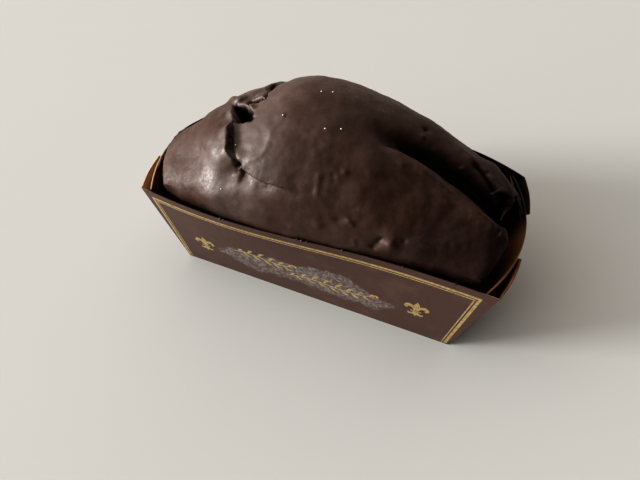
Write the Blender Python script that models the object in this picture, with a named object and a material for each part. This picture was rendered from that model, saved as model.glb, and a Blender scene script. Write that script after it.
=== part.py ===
"""A chocolate-glazed marble loaf cake, uncut, in the folded paper case it was baked in.

Three solids: the paper case with its corner webs folded against the end walls, the cake that
fills it and domes above it, and the coat of chocolate glaze that lies over the cake.
X runs along the loaf, -Y is the printed front and the origin is under the middle of the base.
"""

import math

import bmesh
import bpy
import numpy as np
from mathutils import Vector

MM = 0.001

# The paper case.
CASE_HEIGHT = 63 * MM
PAPER = 0.8 * MM  # the wall, a folded sheet
BASE_HALF_LENGTH = 88 * MM
BASE_HALF_WIDTH = 40.5 * MM
RIM_HALF_LENGTH = 100 * MM  # to the fold between side wall and ear
RIM_HALF_WIDTH = 41.2 * MM
FRONT_BOW = 2 * MM  # the front rim is pushed out by the cake
FRONT_WAVE = 2.6 * MM  # and more so in its left half
BACK_BOW = 18 * MM  # the back rim is pushed out much further
BACK_BOW_POWER = 3.2
END_SET_IN = 6.5 * MM  # the end wall starts this far in from the side wall's end
END_BOW = 12.5 * MM
BOW_RISE = 1.4  # how late a bow grows on the way up the wall
EAR_REACH = 26 * MM  # along the end wall, from the corner to the ear's tip, at the rim
EAR_STAND_OFF = 1.6 * MM  # the ear's tip lies this far outside the end wall
EAR_BULGE = 1.2 * MM
POCKET_FLOOR = 14 * MM
CORNER_PULL = 9 * MM  # the back left corner is pulled in at the rim
CORNER_SINK = 3 * MM

# The cake and its glaze.
FIT_GAP = 0.45 * MM  # between the loaf and the paper where they touch
COAT = 2.3 * MM  # glaze thickness
COAT_DEPTH = 12 * MM  # how far the glaze runs down inside the case
SEAM_GAP = 0.3 * MM  # between the cake and its glaze
LEFT_END_GAP = 4.5 * MM  # between the loaf and the end wall, at the middle of each end
RIGHT_END_GAP = 6 * MM
FRONT_LEFT_GAP = 5.2 * MM  # the gaps at the corners of the rim
FRONT_RIGHT_GAP = 4.5 * MM
BACK_GAP = 1 * MM
BACK_END_GAP = 5 * MM
CORNER_ROUNDING = {(-1, -1): 0.1, (1, -1): 0.06, (1, 1): 0.22, (-1, 1): 0.16}
END_FULLNESS = 0.6  # below 1 the dome stays full towards its ends
CROWN = (  # place along the loaf, height of the crown over the rim
    (-100, 16), (-84, 21), (-65, 37.5), (-45, 43), (-20, 52.5), (5, 49.5),
    (30, 41.5), (55, 30), (80, 20), (100, 16),
)
CROWN_STEPS = 401
CROWN_BLUR = 30  # steps over which the crown line is rounded
NOTCH_Y = 4.5 * MM  # a recess in the right end, where the long crack runs out
NOTCH_DEPTH = 11.5 * MM
NOTCH_WIDTH = 8 * MM

# Relief of the glaze, in millimetres seen from above.
CRACKS = (  # line, depth at its start and further on, half width
    (((12, 0), (36, 5), (57, 9.5), (74, 8.5), (84, 4.5), (88, 1)), 0, 8, 5.5),
    (((-50, -3), (-46, -19), (-43, -25), (-36, -31)), 5, 3, 4),
    (((-62, 12), (-55, 7), (-48, 12), (-43, 16), (-40, 28)), 4.5, 4.5, 3.6),
    (((-51, -4), (-46, -1)), 13, 13, 6.5),
)
CRACK_GROWTH = 3  # a crack has its full depth after a third of its length
LOBES = (  # line, height, half width
    (((46, 34), (65, 24), (80, 14), (87, 5)), 1.6, 8),
    (((28, -12), (54, -13), (84, -14)), 1.4, 8),
    (((37, -1.5), (53, -2.5), (62, -4.5), (79, -9), (92, -9)), 2.2, 4.5),
    (((-57, -6), (-54, -17), (-50, -23)), 1.6, 6),
    (((80, 30), (92, 18)), 3, 6),
    (((-78, -14), (-68, -8)), 3, 16),
)
LIP = ((-36, -31), (-22, -34), (-4, -35))  # the main lobe hangs over the band below this line
LIP_HEIGHT = 1.6 * MM
LIP_EDGE = 2.5 * MM
LIP_REACH = 7 * MM
EDGE_FADE = 0.14  # share of the loaf's edge in which the relief fades out
CRACK_FILL = 2.5 * MM  # under the glaze the cracks are this much wider

# How finely the solids are divided.
WALL_LEVELS = 6
GLAZE_CELLS = (76, 46)
CAKE_CELLS = (30, 18)
SIDE_LEVELS = (5 * MM, 12 * MM, 25 * MM, 42 * MM)  # below the rim
NORMAL_STEP = 0.012
CUT_ABOVE = 5 * MM


# ---- the case -------------------------------------------------------------------------------


def flare(base, rim, height):
    """A size that grows evenly from the base to the rim."""
    return base + (rim - base) * height / CASE_HEIGHT


def bow_at(height):
    return (max(height, 0) / CASE_HEIGHT) ** BOW_RISE


def side_wall_y(x, height, side):
    """Outer face of a side wall: side is -1 for the front and 1 for the back."""
    half = flare(BASE_HALF_LENGTH, RIM_HALF_LENGTH, height)
    along = max(-1.0, min(1.0, x / half))
    flat = flare(BASE_HALF_WIDTH, RIM_HALF_WIDTH, height)
    if side < 0:
        bow = FRONT_BOW * (1 - along**2) - FRONT_WAVE * math.sin(math.pi * along)
    else:
        bow = BACK_BOW * (1 - abs(along) ** BACK_BOW_POWER)
    return side * (flat + bow * bow_at(height))


def end_wall_x(y, height):
    """Outer face of the right end wall; the left one mirrors it."""
    corner = flare(BASE_HALF_LENGTH, RIM_HALF_LENGTH - END_SET_IN, height)
    across = y / flare(BASE_HALF_WIDTH, RIM_HALF_WIDTH, height)
    return corner + END_BOW * bow_at(height) * max(0.0, 1 - across**2)


def ear_tip_y(height):
    """The diagonal fold of a corner web runs from the base corner up to the ear's tip."""
    half = flare(BASE_HALF_WIDTH, RIM_HALF_WIDTH, height)
    return half - EAR_REACH * height / CASE_HEIGHT


def ear_outline(height, inset=0.0):
    """Outer face of the right front ear, from the corner fold to the tip: 5 points."""
    corner = Vector((flare(BASE_HALF_LENGTH, RIM_HALF_LENGTH, height) - inset,
                     -flare(BASE_HALF_WIDTH, RIM_HALF_WIDTH, height) + inset))
    tip_y = -ear_tip_y(height)
    lift = EAR_STAND_OFF * height / CASE_HEIGHT
    tip = Vector((end_wall_x(tip_y, height) + lift, tip_y - inset))
    points = []
    for step in range(5):
        share = step / 4
        point = corner.lerp(tip, share)
        point.x += EAR_BULGE * math.sin(math.pi * share) * bow_at(height)
        points.append(point)
    return points


def end_outline(height):
    """The whole right end seen from above, front to back: ear, bare end wall, ear."""
    ear = ear_outline(height)
    tip_y = ear_tip_y(height)
    bare = [Vector((end_wall_x(y, height), y)) for y in np.linspace(-tip_y, tip_y, 7)]
    back = [Vector((p.x, -p.y)) for p in reversed(ear)]
    return ear + bare + back


def case_outline(height):
    """Outer outline of the case at one height, counterclockwise from the left front corner."""
    half = flare(BASE_HALF_LENGTH, RIM_HALF_LENGTH, height)
    stations = np.linspace(-half, half, 15)[1:-1]
    front = [Vector((x, side_wall_y(x, height, -1))) for x in stations]
    back = [Vector((x, side_wall_y(x, height, 1))) for x in reversed(stations)]
    right = end_outline(height)
    left = [Vector((-p.x, p.y)) for p in reversed(right)]
    return front + right + back + left


def hollow_outline(height):
    """Inner outline of the case at one height, which the loaf fills."""
    level = min(height, CASE_HEIGHT)
    half = end_wall_x(RIM_HALF_WIDTH, level) - PAPER
    stations = np.linspace(-half, half, 15)
    front = [Vector((x, side_wall_y(x, level, -1) + PAPER)) for x in stations]
    back = [Vector((x, side_wall_y(x, level, 1) - PAPER)) for x in reversed(stations)]
    width = flare(BASE_HALF_WIDTH, RIM_HALF_WIDTH, level) - PAPER
    across = np.linspace(-width, width, 13)[1:-1]
    right = [Vector((end_wall_x(y, level) - PAPER, y)) for y in across]
    left = [Vector((-p.x, p.y)) for p in reversed(right)]
    return front + right + back + left


def pocket_outline(height, side_x, side_y):
    """The space between an ear and the end wall, at one height."""
    level = min(height, CASE_HEIGHT)
    outer = ear_outline(level, PAPER)
    inner = []
    for point in reversed(outer):
        wall = end_wall_x(point.y, level)
        inner.append(Vector((min(wall + 0.05 * MM, point.x - PAPER * 0.4), point.y)))
    outer = [Vector((p.x - PAPER * 0.5, p.y)) for p in outer]
    outer = [Vector((max(p.x, q.x + 0.25 * MM), p.y)) for p, q in zip(outer, reversed(inner))]
    points = [Vector((p.x * side_x, p.y * side_y)) for p in outer + inner]
    return points if side_x * side_y > 0 else points[::-1]


def smooth(share):
    share = np.clip(share, 0, 1)
    return share * share * (3 - 2 * share)


def corner_pull(x, y, height):
    """How far the back left corner's pull reaches, from 0 to 1."""
    reach = smooth(-x / RIM_HALF_LENGTH) * smooth(y / RIM_HALF_WIDTH)
    return reach * height / CASE_HEIGHT


def settled(x, y, height):
    pull = corner_pull(x, y, height)
    return (x, y - CORNER_PULL * pull, height - CORNER_SINK * pull)


def loft(name, outlines, heights):
    """A closed solid through outlines with the same number of points, lowest first."""
    mesh = bmesh.new()
    rings = []
    for outline, height in zip(outlines, heights):
        rings.append([mesh.verts.new(settled(p.x, p.y, height)) for p in outline])
    for low, high in zip(rings, rings[1:]):
        for i in range(len(low)):
            j = (i + 1) % len(low)
            mesh.faces.new((low[i], low[j], high[j], high[i]))
    mesh.faces.new(rings[0][::-1])
    mesh.faces.new(rings[-1])
    bmesh.ops.recalc_face_normals(mesh, faces=mesh.faces)
    return to_object(name, mesh)


def to_object(name, mesh):
    data = bpy.data.meshes.new(name)
    mesh.to_mesh(data)
    mesh.free()
    obj = bpy.data.objects.new(name, data)
    return obj


# ---- the loaf -------------------------------------------------------------------------------


def crown_height(x):
    """The crown line, rounded off between its stations."""
    places, heights = np.array(CROWN).T * MM
    fine = np.linspace(places[0], places[-1], CROWN_STEPS)
    window = np.hanning(2 * CROWN_BLUR + 1)
    padded = np.pad(np.interp(fine, places, heights), CROWN_BLUR, mode="edge")
    rounded = np.convolve(padded, window / window.sum(), mode="valid")
    return np.interp(x, fine, rounded)


def loaf_edge(x, side):
    """Where the loaf's side meets the rim. It stands free of the paper towards the ends."""
    wall = np.vectorize(lambda at: side_wall_y(at, CASE_HEIGHT, side))(x)
    share = np.clip(x / RIM_HALF_LENGTH, -1, 1)
    if side < 0:
        gap = np.where(share < 0, FRONT_LEFT_GAP, FRONT_RIGHT_GAP) * share**2
    else:
        gap = BACK_GAP + BACK_END_GAP * share**2
        wall = wall - CORNER_PULL * corner_pull(x, wall, CASE_HEIGHT)
    return wall - side * (PAPER + FIT_GAP + gap)


def loaf_end(y, side):
    """How far the loaf reaches along X at its left (-1) or right (1) end."""
    across = np.clip(np.abs(y) / RIM_HALF_WIDTH, 0, 1)
    wall = np.vectorize(lambda at: end_wall_x(at, CASE_HEIGHT))(y)
    gap = (LEFT_END_GAP if side < 0 else RIGHT_END_GAP) * (1 - across**1.5)
    if side > 0:
        gap = gap + NOTCH_DEPTH * dip(y - NOTCH_Y, NOTCH_WIDTH)
    return side * (wall - PAPER - FIT_GAP - gap)


def dip(distance, width):
    """1 in the middle of a crease, falling smoothly to 0 at about twice its width."""
    return np.exp(-((distance / width) ** 2))


def path_distance(x, y, path):
    """Distance in plan to a line of points in mm, how far along it, and on which side."""
    best, along, side = np.full(np.shape(x), 1.0), np.zeros(np.shape(x)), np.zeros(np.shape(x))
    corners = np.array(path) * MM
    for i, (a, b) in enumerate(zip(corners, corners[1:])):
        run = b - a
        t = np.clip(((x - a[0]) * run[0] + (y - a[1]) * run[1]) / run.dot(run), 0, 1)
        off_x, off_y = x - a[0] - t * run[0], y - a[1] - t * run[1]
        distance = np.hypot(off_x, off_y)
        nearer = distance < best
        along = np.where(nearer, (i + t) / (len(path) - 1), along)
        side = np.where(nearer, np.sign(run[0] * off_y - run[1] * off_x), side)
        best = np.minimum(best, distance)
    return best, along, side


def relief(x, y, widen=0.0):
    """Height of the cracks, and on the glaze also of the lobes, over the smooth loaf."""
    drop = np.zeros(np.shape(x))
    for path, start, end, width in CRACKS:
        distance, along, _ = path_distance(x, y, path)
        depth = start + (end - start) * smooth(along * CRACK_GROWTH)
        drop = np.maximum(drop, depth * MM * dip(distance, width * MM + widen))
    if widen:
        return -drop
    rise = np.zeros(np.shape(x))
    for path, height, width in LOBES:
        rise = rise + height * MM * dip(path_distance(x, y, path)[0], width * MM)
    distance, along, side = path_distance(x, y, LIP)
    step = LIP_HEIGHT * np.tanh(side * distance / LIP_EDGE)
    rise = rise + step * (1 - along) * dip(distance, LIP_REACH)
    return rise - drop


def loaf_surface(u, v, inset):
    """A point of the dome for u and v in -1..1, along and across the loaf."""
    su, sv = np.sin(math.pi / 2 * u), np.sin(math.pi / 2 * v)
    rounding = sum(amount * (1 + sx * su) * (1 + sy * sv) / 4
                   for (sx, sy), amount in CORNER_ROUNDING.items())
    draw_in = np.sqrt(1 - rounding * (su * sv) ** 2)
    w = sv * draw_in
    left, right = (loaf_end(w * RIM_HALF_WIDTH, side) - side * inset for side in (-1, 1))
    x = ((right + left) / 2 + (right - left) / 2 * su) * draw_in
    front, back = loaf_edge(x, -1) + inset, loaf_edge(x, 1) - inset
    y = (front + back) / 2 + (back - front) / 2 * w
    dome = np.cos(math.pi / 2 * v) * np.cos(math.pi / 2 * u) ** END_FULLNESS
    rise = (crown_height(x) - inset) * dome
    return np.stack(np.broadcast_arrays(x, y, CASE_HEIGHT + rise), -1)


def dressed_surface(u, v, inset, widen):
    """The dome with its relief laid on along the normals of the outermost one."""
    outer = loaf_surface(u, v, 0)
    ahead, behind = (np.clip(u + step, -1, 1) for step in (NORMAL_STEP, -NORMAL_STEP))
    du = loaf_surface(ahead, v, 0) - loaf_surface(behind, v, 0)
    ahead, behind = (np.clip(v + step, -1, 1) for step in (NORMAL_STEP, -NORMAL_STEP))
    dv = loaf_surface(u, ahead, 0) - loaf_surface(u, behind, 0)
    normal = np.cross(du, dv)
    normal /= np.maximum(np.linalg.norm(normal, axis=-1, keepdims=True), 1e-12)
    fade = np.clip((1 - np.abs(u)) / EDGE_FADE, 0, 1) * np.clip((1 - np.abs(v)) / EDGE_FADE, 0, 1)
    lift = relief(outer[..., 0], outer[..., 1], widen) * fade
    return loaf_surface(u, v, inset) + normal * lift[..., None]


def loaf(name, cells, inset, widen, floor):
    """A closed loaf: a grid bent into the dome, its border drawn down to the floor."""
    mesh = bmesh.new()
    bmesh.ops.create_grid(mesh, x_segments=cells[0], y_segments=cells[1], size=1)
    u, v = np.array([(p.co.x, p.co.y) for p in mesh.verts]).T
    for vert, place in zip(mesh.verts, dressed_surface(u, v, inset, widen)):
        vert.co = place
    border = [edge for edge in mesh.edges if edge.is_boundary]
    levels = [CASE_HEIGHT - depth for depth in SIDE_LEVELS if CASE_HEIGHT - depth > floor]
    for height in levels + [floor]:
        made = bmesh.ops.extrude_edge_only(mesh, edges=border)["geom"]
        border = [item for item in made if isinstance(item, bmesh.types.BMEdge)
                  and item.is_boundary]
        for vert in [item for item in made if isinstance(item, bmesh.types.BMVert)]:
            vert.co = wall_place(vert.co, height, inset)
    # Every loaf is split along the same diagonals, so that nested ones stay apart.
    bmesh.ops.triangulate(mesh, faces=mesh.faces, quad_method="FIXED")
    border = [edge for edge in mesh.edges if edge.is_boundary]
    bmesh.ops.contextual_create(mesh, geom=border)
    bmesh.ops.recalc_face_normals(mesh, faces=mesh.faces)
    return to_object(name, mesh)


def wall_place(place, height, inset):
    """The place under a point of the loaf's edge, moved in with the flared wall."""
    room = PAPER + FIT_GAP + inset
    reach = end_wall_x(place.y, height) - room
    x = max(-reach, min(reach, place.x))
    front, back = (side_wall_y(x, height, side) for side in (-1, 1))
    back -= CORNER_PULL * corner_pull(x, back, height)
    y = max(front + room, min(back - room, place.y))
    return Vector((x, y, height))


# ---- putting it together --------------------------------------------------------------------


def clear_scene():
    for obj in list(bpy.data.objects):
        bpy.data.objects.remove(obj, do_unlink=True)


def collection(name):
    made = bpy.data.collections.new(name)
    bpy.context.scene.collection.children.link(made)
    return made


def finish(name, colour, roughness, coat=0.0):
    """A plain material in the piece's own colour."""
    material = bpy.data.materials.new(name)
    material.use_nodes = True
    shader = material.node_tree.nodes["Principled BSDF"]
    shader.inputs["Base Color"].default_value = (*colour, 1)
    shader.inputs["Roughness"].default_value = roughness
    shader.inputs["Coat Weight"].default_value = coat
    return material


def cut(obj, cutter, cutters):
    cutters.objects.link(cutter)
    cutter.hide_render = True
    cutter.display_type = "WIRE"
    boolean = obj.modifiers.new("cut_" + cutter.name, "BOOLEAN")
    boolean.operation = "DIFFERENCE"
    boolean.solver = "EXACT"
    boolean.object = cutter


def make_case(parts, cutters):
    heights = np.linspace(0, CASE_HEIGHT, WALL_LEVELS)
    case = loft("case", [case_outline(h) for h in heights], heights)
    parts.objects.link(case)
    heights = [PAPER, *heights[1:], CASE_HEIGHT + CUT_ABOVE]
    cut(case, loft("hollow", [hollow_outline(h) for h in heights], heights), cutters)
    heights = [*np.linspace(POCKET_FLOOR, CASE_HEIGHT, WALL_LEVELS), CASE_HEIGHT + CUT_ABOVE]
    for side_x in (-1, 1):
        for side_y in (-1, 1):
            outlines = [pocket_outline(h, side_x, side_y) for h in heights]
            cut(case, loft(f"pocket_{side_x}_{side_y}", outlines, heights), cutters)
    case.data.materials.append(finish("printed_paper", (0.045, 0.026, 0.02), 0.55))


def make_loaf(parts, cutters):
    cake = loaf("cake", CAKE_CELLS, COAT, CRACK_FILL, PAPER + SEAM_GAP)
    cake.data.materials.append(finish("marble_sponge", (0.42, 0.24, 0.1), 0.9))
    parts.objects.link(cake)
    glaze = loaf("glaze", GLAZE_CELLS, 0, 0, CASE_HEIGHT - COAT_DEPTH)
    glaze.data.materials.append(finish("chocolate_glaze", (0.05, 0.03, 0.025), 0.45, 0.2))
    parts.objects.link(glaze)
    under = loaf("under_glaze", CAKE_CELLS, COAT - SEAM_GAP, CRACK_FILL,
                 CASE_HEIGHT - 2 * COAT_DEPTH)
    cut(glaze, under, cutters)


def main():
    clear_scene()
    parts = collection("marble_cake")
    cutters = collection("cutters")
    make_case(parts, cutters)
    make_loaf(parts, cutters)


main()
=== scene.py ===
# %% [markdown]
# # A marble loaf cake in its paper case
#
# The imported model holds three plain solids: a folded paper case, the loaf baked in it and the
# chocolate glaze over the loaf. This lesson gives them their looks. The glaze gets its cracks,
# lips, lumps and ripples, the case becomes a thin folded sheet with its gold print, and every
# surface gets a material of its own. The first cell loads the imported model, which never moves.

# %% Load the frame
import math

import bpy
import numpy as np
from mathutils import Matrix, Vector, noise
from mathutils.bvhtree import BVHTree


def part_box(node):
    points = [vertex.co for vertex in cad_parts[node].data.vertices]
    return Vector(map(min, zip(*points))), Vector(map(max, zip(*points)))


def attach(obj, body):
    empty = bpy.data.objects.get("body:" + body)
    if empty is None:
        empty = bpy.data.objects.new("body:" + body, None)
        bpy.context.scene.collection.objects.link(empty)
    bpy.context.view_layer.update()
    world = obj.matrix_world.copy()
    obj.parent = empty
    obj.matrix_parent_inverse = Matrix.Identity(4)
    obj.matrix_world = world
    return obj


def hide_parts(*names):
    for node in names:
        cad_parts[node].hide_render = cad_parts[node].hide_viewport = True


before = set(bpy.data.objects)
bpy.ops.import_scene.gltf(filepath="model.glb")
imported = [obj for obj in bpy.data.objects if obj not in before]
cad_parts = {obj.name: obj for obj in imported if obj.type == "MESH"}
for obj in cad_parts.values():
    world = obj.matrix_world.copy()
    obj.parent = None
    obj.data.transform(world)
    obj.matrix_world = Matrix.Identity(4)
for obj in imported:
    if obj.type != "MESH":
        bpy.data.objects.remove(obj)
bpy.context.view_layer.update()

MM = 0.001
print("nodes:", sorted(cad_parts))

# %% [markdown]
# ## Helpers
#
# An operator works on everything that is selected, so each piece starts by deselecting all else.
# Two more helpers read and write all points of a mesh at once, as rows of an array, because a
# loaf's skin has far too many points to be moved one by one.

# %% Select and edit
def only(*objs):
    """Back in object mode, with just these selected and the first one active."""
    if bpy.context.mode != "OBJECT":
        bpy.ops.object.mode_set(mode="OBJECT")
    bpy.ops.object.select_all(action="DESELECT")
    for obj in objs:
        obj.select_set(True)
    if objs:
        bpy.context.view_layer.objects.active = objs[0]


def edit(obj, faces=None):
    """In edit mode, with all faces selected or just those marked in faces."""
    only(obj)
    bpy.ops.object.mode_set(mode="EDIT")
    bpy.ops.mesh.select_mode(type="FACE")
    bpy.ops.mesh.select_all(action="SELECT" if faces is None else "DESELECT")
    if faces is not None:
        bpy.ops.object.mode_set(mode="OBJECT")
        obj.data.polygons.foreach_set("select", faces)
        bpy.ops.object.mode_set(mode="EDIT")


# %% Read and write all points, and finish a mesh
def points_of(obj, kind="co"):
    """All points of a mesh as rows, or with kind "normal" the normals at them."""
    data = np.empty(len(obj.data.vertices) * 3)
    obj.data.vertices.foreach_get(kind, data)
    return data.reshape(-1, 3)


def put_points(obj, points):
    obj.data.vertices.foreach_set("co", np.ascontiguousarray(points, float).ravel())
    obj.data.update()


def finish_with(obj, kind, **settings):
    """Adds one modifier and applies it."""
    only(obj)
    modifier = obj.modifiers.new(kind.title(), kind)
    for key, value in settings.items():
        setattr(modifier, key, value)
    bpy.ops.object.modifier_apply(modifier=modifier.name)


def merge_close(obj, distance):
    edit(obj)
    bpy.ops.mesh.remove_doubles(threshold=distance)
    only(obj)


def smooth_shaded(obj, sharp_above=180):
    only(obj)
    bpy.ops.object.shade_smooth_by_angle(angle=math.radians(sharp_above))


# %% [markdown]
# ## The camera
#
# The photo was taken from above and in front of the right end. The camera's place and turn were
# found by fitting the case's corners and rims, so a place in the picture can be turned into a
# place on the cake. That is how cracks and lumps are put where they are: a ray goes from the
# camera through a pixel of the photo, and where it meets the glaze is the spot.

# %% Camera
PHOTO_WIDTH, PHOTO_HEIGHT = 640, 480
FOCAL_PIXELS = 444.0
AIM = Vector((-0.0005, -0.0173, 0.03))
AZIMUTH, ELEVATION, ROLL, DISTANCE = 0.4488, 0.9369, -0.0693, 0.2674

back = Vector((math.sin(AZIMUTH) * math.cos(ELEVATION),
               -math.cos(AZIMUTH) * math.cos(ELEVATION), math.sin(ELEVATION)))
across = Vector((0, 0, 1)).cross(back).normalized()
upward = back.cross(across)
right = math.cos(ROLL) * across + math.sin(ROLL) * upward
above = -math.sin(ROLL) * across + math.cos(ROLL) * upward
eye = AIM + back * DISTANCE

only()
bpy.ops.object.camera_add(location=eye)
camera = bpy.context.object
camera.name = "photo_camera"
camera.rotation_euler = Matrix((right, above, back)).transposed().to_euler()
camera.data.sensor_width = 36
camera.data.lens = FOCAL_PIXELS * camera.data.sensor_width / PHOTO_WIDTH
camera.data.clip_start = 0.01
bpy.context.scene.camera = camera
print("camera at mm", [round(c / MM) for c in eye], "lens", round(camera.data.lens, 1))


# %% From a pixel to a place
def sight(u, v):
    """Direction from the eye through a pixel of the photo."""
    return (right * (u - PHOTO_WIDTH / 2) / FOCAL_PIXELS
            - above * (v - PHOTO_HEIGHT / 2) / FOCAL_PIXELS - back).normalized()


REACHES = np.linspace(0.12, 0.40, 57)  # how far from the eye a line of sight is followed


def seen_at(tree, *pixels):
    """Where lines of sight through pixels of the photo meet a surface, or pass nearest to it."""
    spots = []
    for u, v in pixels:
        spot = tree.ray_cast(eye, sight(u, v))[0]
        if spot is None:
            passed = [tree.find_nearest(eye + sight(u, v) * reach) for reach in REACHES]
            spot = min(passed, key=lambda found: found[3])[0]
        spots.append(spot)
    return np.array(spots)


def tree_of(obj):
    """A mesh, ready for rays and nearest points."""
    return BVHTree.FromPolygons([v.co for v in obj.data.vertices],
                                [p.vertices for p in obj.data.polygons])


print("way through the middle of the photo:", [round(c, 2) for c in sight(320, 240)])

# %% [markdown]
# ## The glaze
#
# Real chocolate glaze is a coat of two millimetres that follows the crust, so the cracks of the
# crust show through it, rounded. It could be sculpted from nothing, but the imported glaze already
# has the dome, the swellings and the big cracks in their places. So a copy of it is merged, its
# triangles are paired into quads, and Subdivision Surface makes it fine and smooth. What is
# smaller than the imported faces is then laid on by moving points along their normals.

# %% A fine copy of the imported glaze
SKIN_LEVELS = 2
THINNEST_GLAZE = 0.8 * MM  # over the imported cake
INNER_GAP = 0.15 * MM  # between the cake and the glaze's hidden inner side
SAME_POINT = 0.001 * MM


def copy_of(node, name):
    """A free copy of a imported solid, which itself stays as it is."""
    piece = bpy.data.objects.new(name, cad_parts[node].data.copy())
    bpy.context.scene.collection.objects.link(piece)
    piece.data.materials.clear()
    merge_close(piece, SAME_POINT)
    return piece


glaze = copy_of("glaze", "chocolate_glaze")
edit(glaze)
bpy.ops.mesh.tris_convert_to_quads(face_threshold=math.pi, shape_threshold=math.pi)
finish_with(glaze, "SUBSURF", levels=SKIN_LEVELS, render_levels=SKIN_LEVELS)
cake_tree = tree_of(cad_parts["cake"])
print("glaze faces:", len(glaze.data.polygons))

# %% [markdown]
# The glaze has to stay a skin: nowhere so thin that the sponge shows, and with its hidden inner
# side close to the cake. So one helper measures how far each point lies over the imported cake.

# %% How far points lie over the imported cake
def over_cake(points):
    """Signed distance to the cake, with its nearest point and normal."""
    near, out = np.empty_like(points), np.empty_like(points)
    for i, point in enumerate(points):
        near[i], out[i] = cake_tree.find_nearest(Vector(point))[:2]
    return ((points - near) * out).sum(1), near, out


print("glaze reaches mm over the cake:", (over_cake(points_of(glaze))[0].max() / MM).round(1))

# %% [markdown]
# Cracks and lips follow lines. For every point of the skin, one helper gives its distance to such
# a line and how far along the line it lies.

# %% Distances to a line on the glaze
def line_frame(points, line):
    """For each point: distance to the line, place along it from 0 to 1, and the way off it."""
    best = np.full(len(points), np.inf)
    along, off, run = np.zeros(len(points)), np.zeros_like(points), np.zeros_like(points)
    for i, (a, b) in enumerate(zip(line, line[1:])):
        step = b - a
        t = np.clip((points - a) @ step / (step @ step), 0, 1)
        away = points - a - t[:, None] * step
        distance = np.linalg.norm(away, axis=1)
        nearer = distance < best
        best[nearer], along[nearer] = distance[nearer], ((i + t) / (len(line) - 1))[nearer]
        off[nearer], run[nearer] = away[nearer], step
    return best, along, off, run


# %% Soft steps, bells and unit vectors
def smoothstep(x):
    x = np.clip(x, 0, 1)
    return x * x * (3 - 2 * x)


def bell(distance, width):
    return np.exp(-(distance / width) ** 2)


def unit(rows):
    """The same directions, each one long."""
    return rows / np.maximum(np.linalg.norm(rows, axis=1, keepdims=True), 1e-12)


# %% The sides of a line, and finer faces near it
def left_of(off, run, normals):
    """1 on the left of a line, walking along it on the glaze, and -1 on its right."""
    return np.sign((np.cross(run, off) * normals).sum(1))


def divide_near(obj, lines, reach):
    """Divides the faces near lines once more, and gives their number."""
    centres = np.array([p.center for p in obj.data.polygons])
    near = np.zeros(len(centres), bool)
    for line in lines:
        near |= line_frame(centres, line)[0] < reach
    edit(obj, near)
    bpy.ops.mesh.subdivide(number_cuts=1)
    only(obj)
    return near.sum()


# %% [markdown]
# The thin cracks are narrower than two of these faces, so the faces along them are divided once
# more. Their lines are chains of places in the photo, carried on to the glaze by rays.

# %% Finer faces along the thin cracks
THIN_CRACKS = (((236, 104), (243, 109), (247, 117), (240, 120), (234, 120)),
               ((233, 120), (231, 130), (231, 140), (232, 150), (235, 158), (239, 167), (240, 175)),
               ((247, 104), (251, 100), (255, 100), (260, 98), (264, 97), (266, 93), (270, 90)),
               ((240, 169), (247, 171), (254, 176), (262, 181), (275, 185)))
FINE_REACH = 3.6 * MM
glaze_tree = tree_of(glaze)
fine = divide_near(glaze, [seen_at(glaze_tree, *line) for line in THIN_CRACKS], FINE_REACH)
print("faces divided once more:", fine, "now", len(glaze.data.polygons))

# %% [markdown]
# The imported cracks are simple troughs. Where the real crack has another shape, its trough is
# filled before anything is laid on, straight out from the dome, so that the filled skin is even.
# A point is filled by the trough's depth at the place where it ends up, which a few rounds find.

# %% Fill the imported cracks
DOME_HALF_SIZE = np.array((95, 45, 50)) * MM  # the dome is near enough a half ellipsoid
DOME_FOOT = 60 * MM
# In millimetres: the line in plan, the depth at its start and further on, and the width.
PACKED_PIT = (((-51, -4), (-46, -1)), 13, 13, 6.5)
PACKED_CRACKS = (
    (((-50, -3), (-46, -19), (-43, -25), (-36, -31)), 5, 3, 4),
    (((-62, 12), (-55, 7), (-48, 12), (-43, 16), (-40, 28)), 4.5, 4.5, 3.6),
)
FILL_ROUNDS = 6
OUTER_FROM, OUTER_EASE = 1.0 * MM, 0.8 * MM  # points this far over the cake are on the outer side
RELIEF_FOOT, RELIEF_EASE = 54 * MM, 6 * MM  # no relief is laid on below this height


def outward_of(points):
    """The dome's own outward direction, without cracks and lumps."""
    return unit((points - (0, 0, DOME_FOOT)) / DOME_HALF_SIZE**2)


def trough(points, path, start, deep, width):
    """Depth of a packed crack."""
    line = np.array([(x, y, 0) for x, y in path]) * MM
    distance, along, _, _ = line_frame(points * (1, 1, 0), line)
    return (start + (deep - start) * smoothstep(along * 3)) * MM * bell(distance, width * MM)


skin = points_of(glaze)
over = over_cake(skin)[0]
outside = smoothstep((over - OUTER_FROM) / OUTER_EASE)
outside *= smoothstep((skin[:, 2] - RELIEF_FOOT) / RELIEF_EASE)
outward = outward_of(skin)
filled = skin
for _ in range(FILL_ROUNDS):
    pit_depth = trough(filled, *PACKED_PIT)
    filling = np.max([pit_depth] + [trough(filled, *crack) for crack in PACKED_CRACKS], axis=0)
    filled = skin + outward * (filling * outside)[:, None]
put_points(glaze, filled)
glaze_tree = tree_of(glaze)
print("deepest filling mm:", (filling.max() / MM).round(1))

# %% [markdown]
# The cracks, the lip and the folds were followed in the photo, each by a few pixels. A line of
# sight through a pixel meets the filled glaze at its spot, so the chains lie on the glaze.

# %% Where the relief lies
def traced(*pixels):
    """A chain of places on the filled glaze, seen at pixels of the photo."""
    return seen_at(glaze_tree, *pixels)


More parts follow.
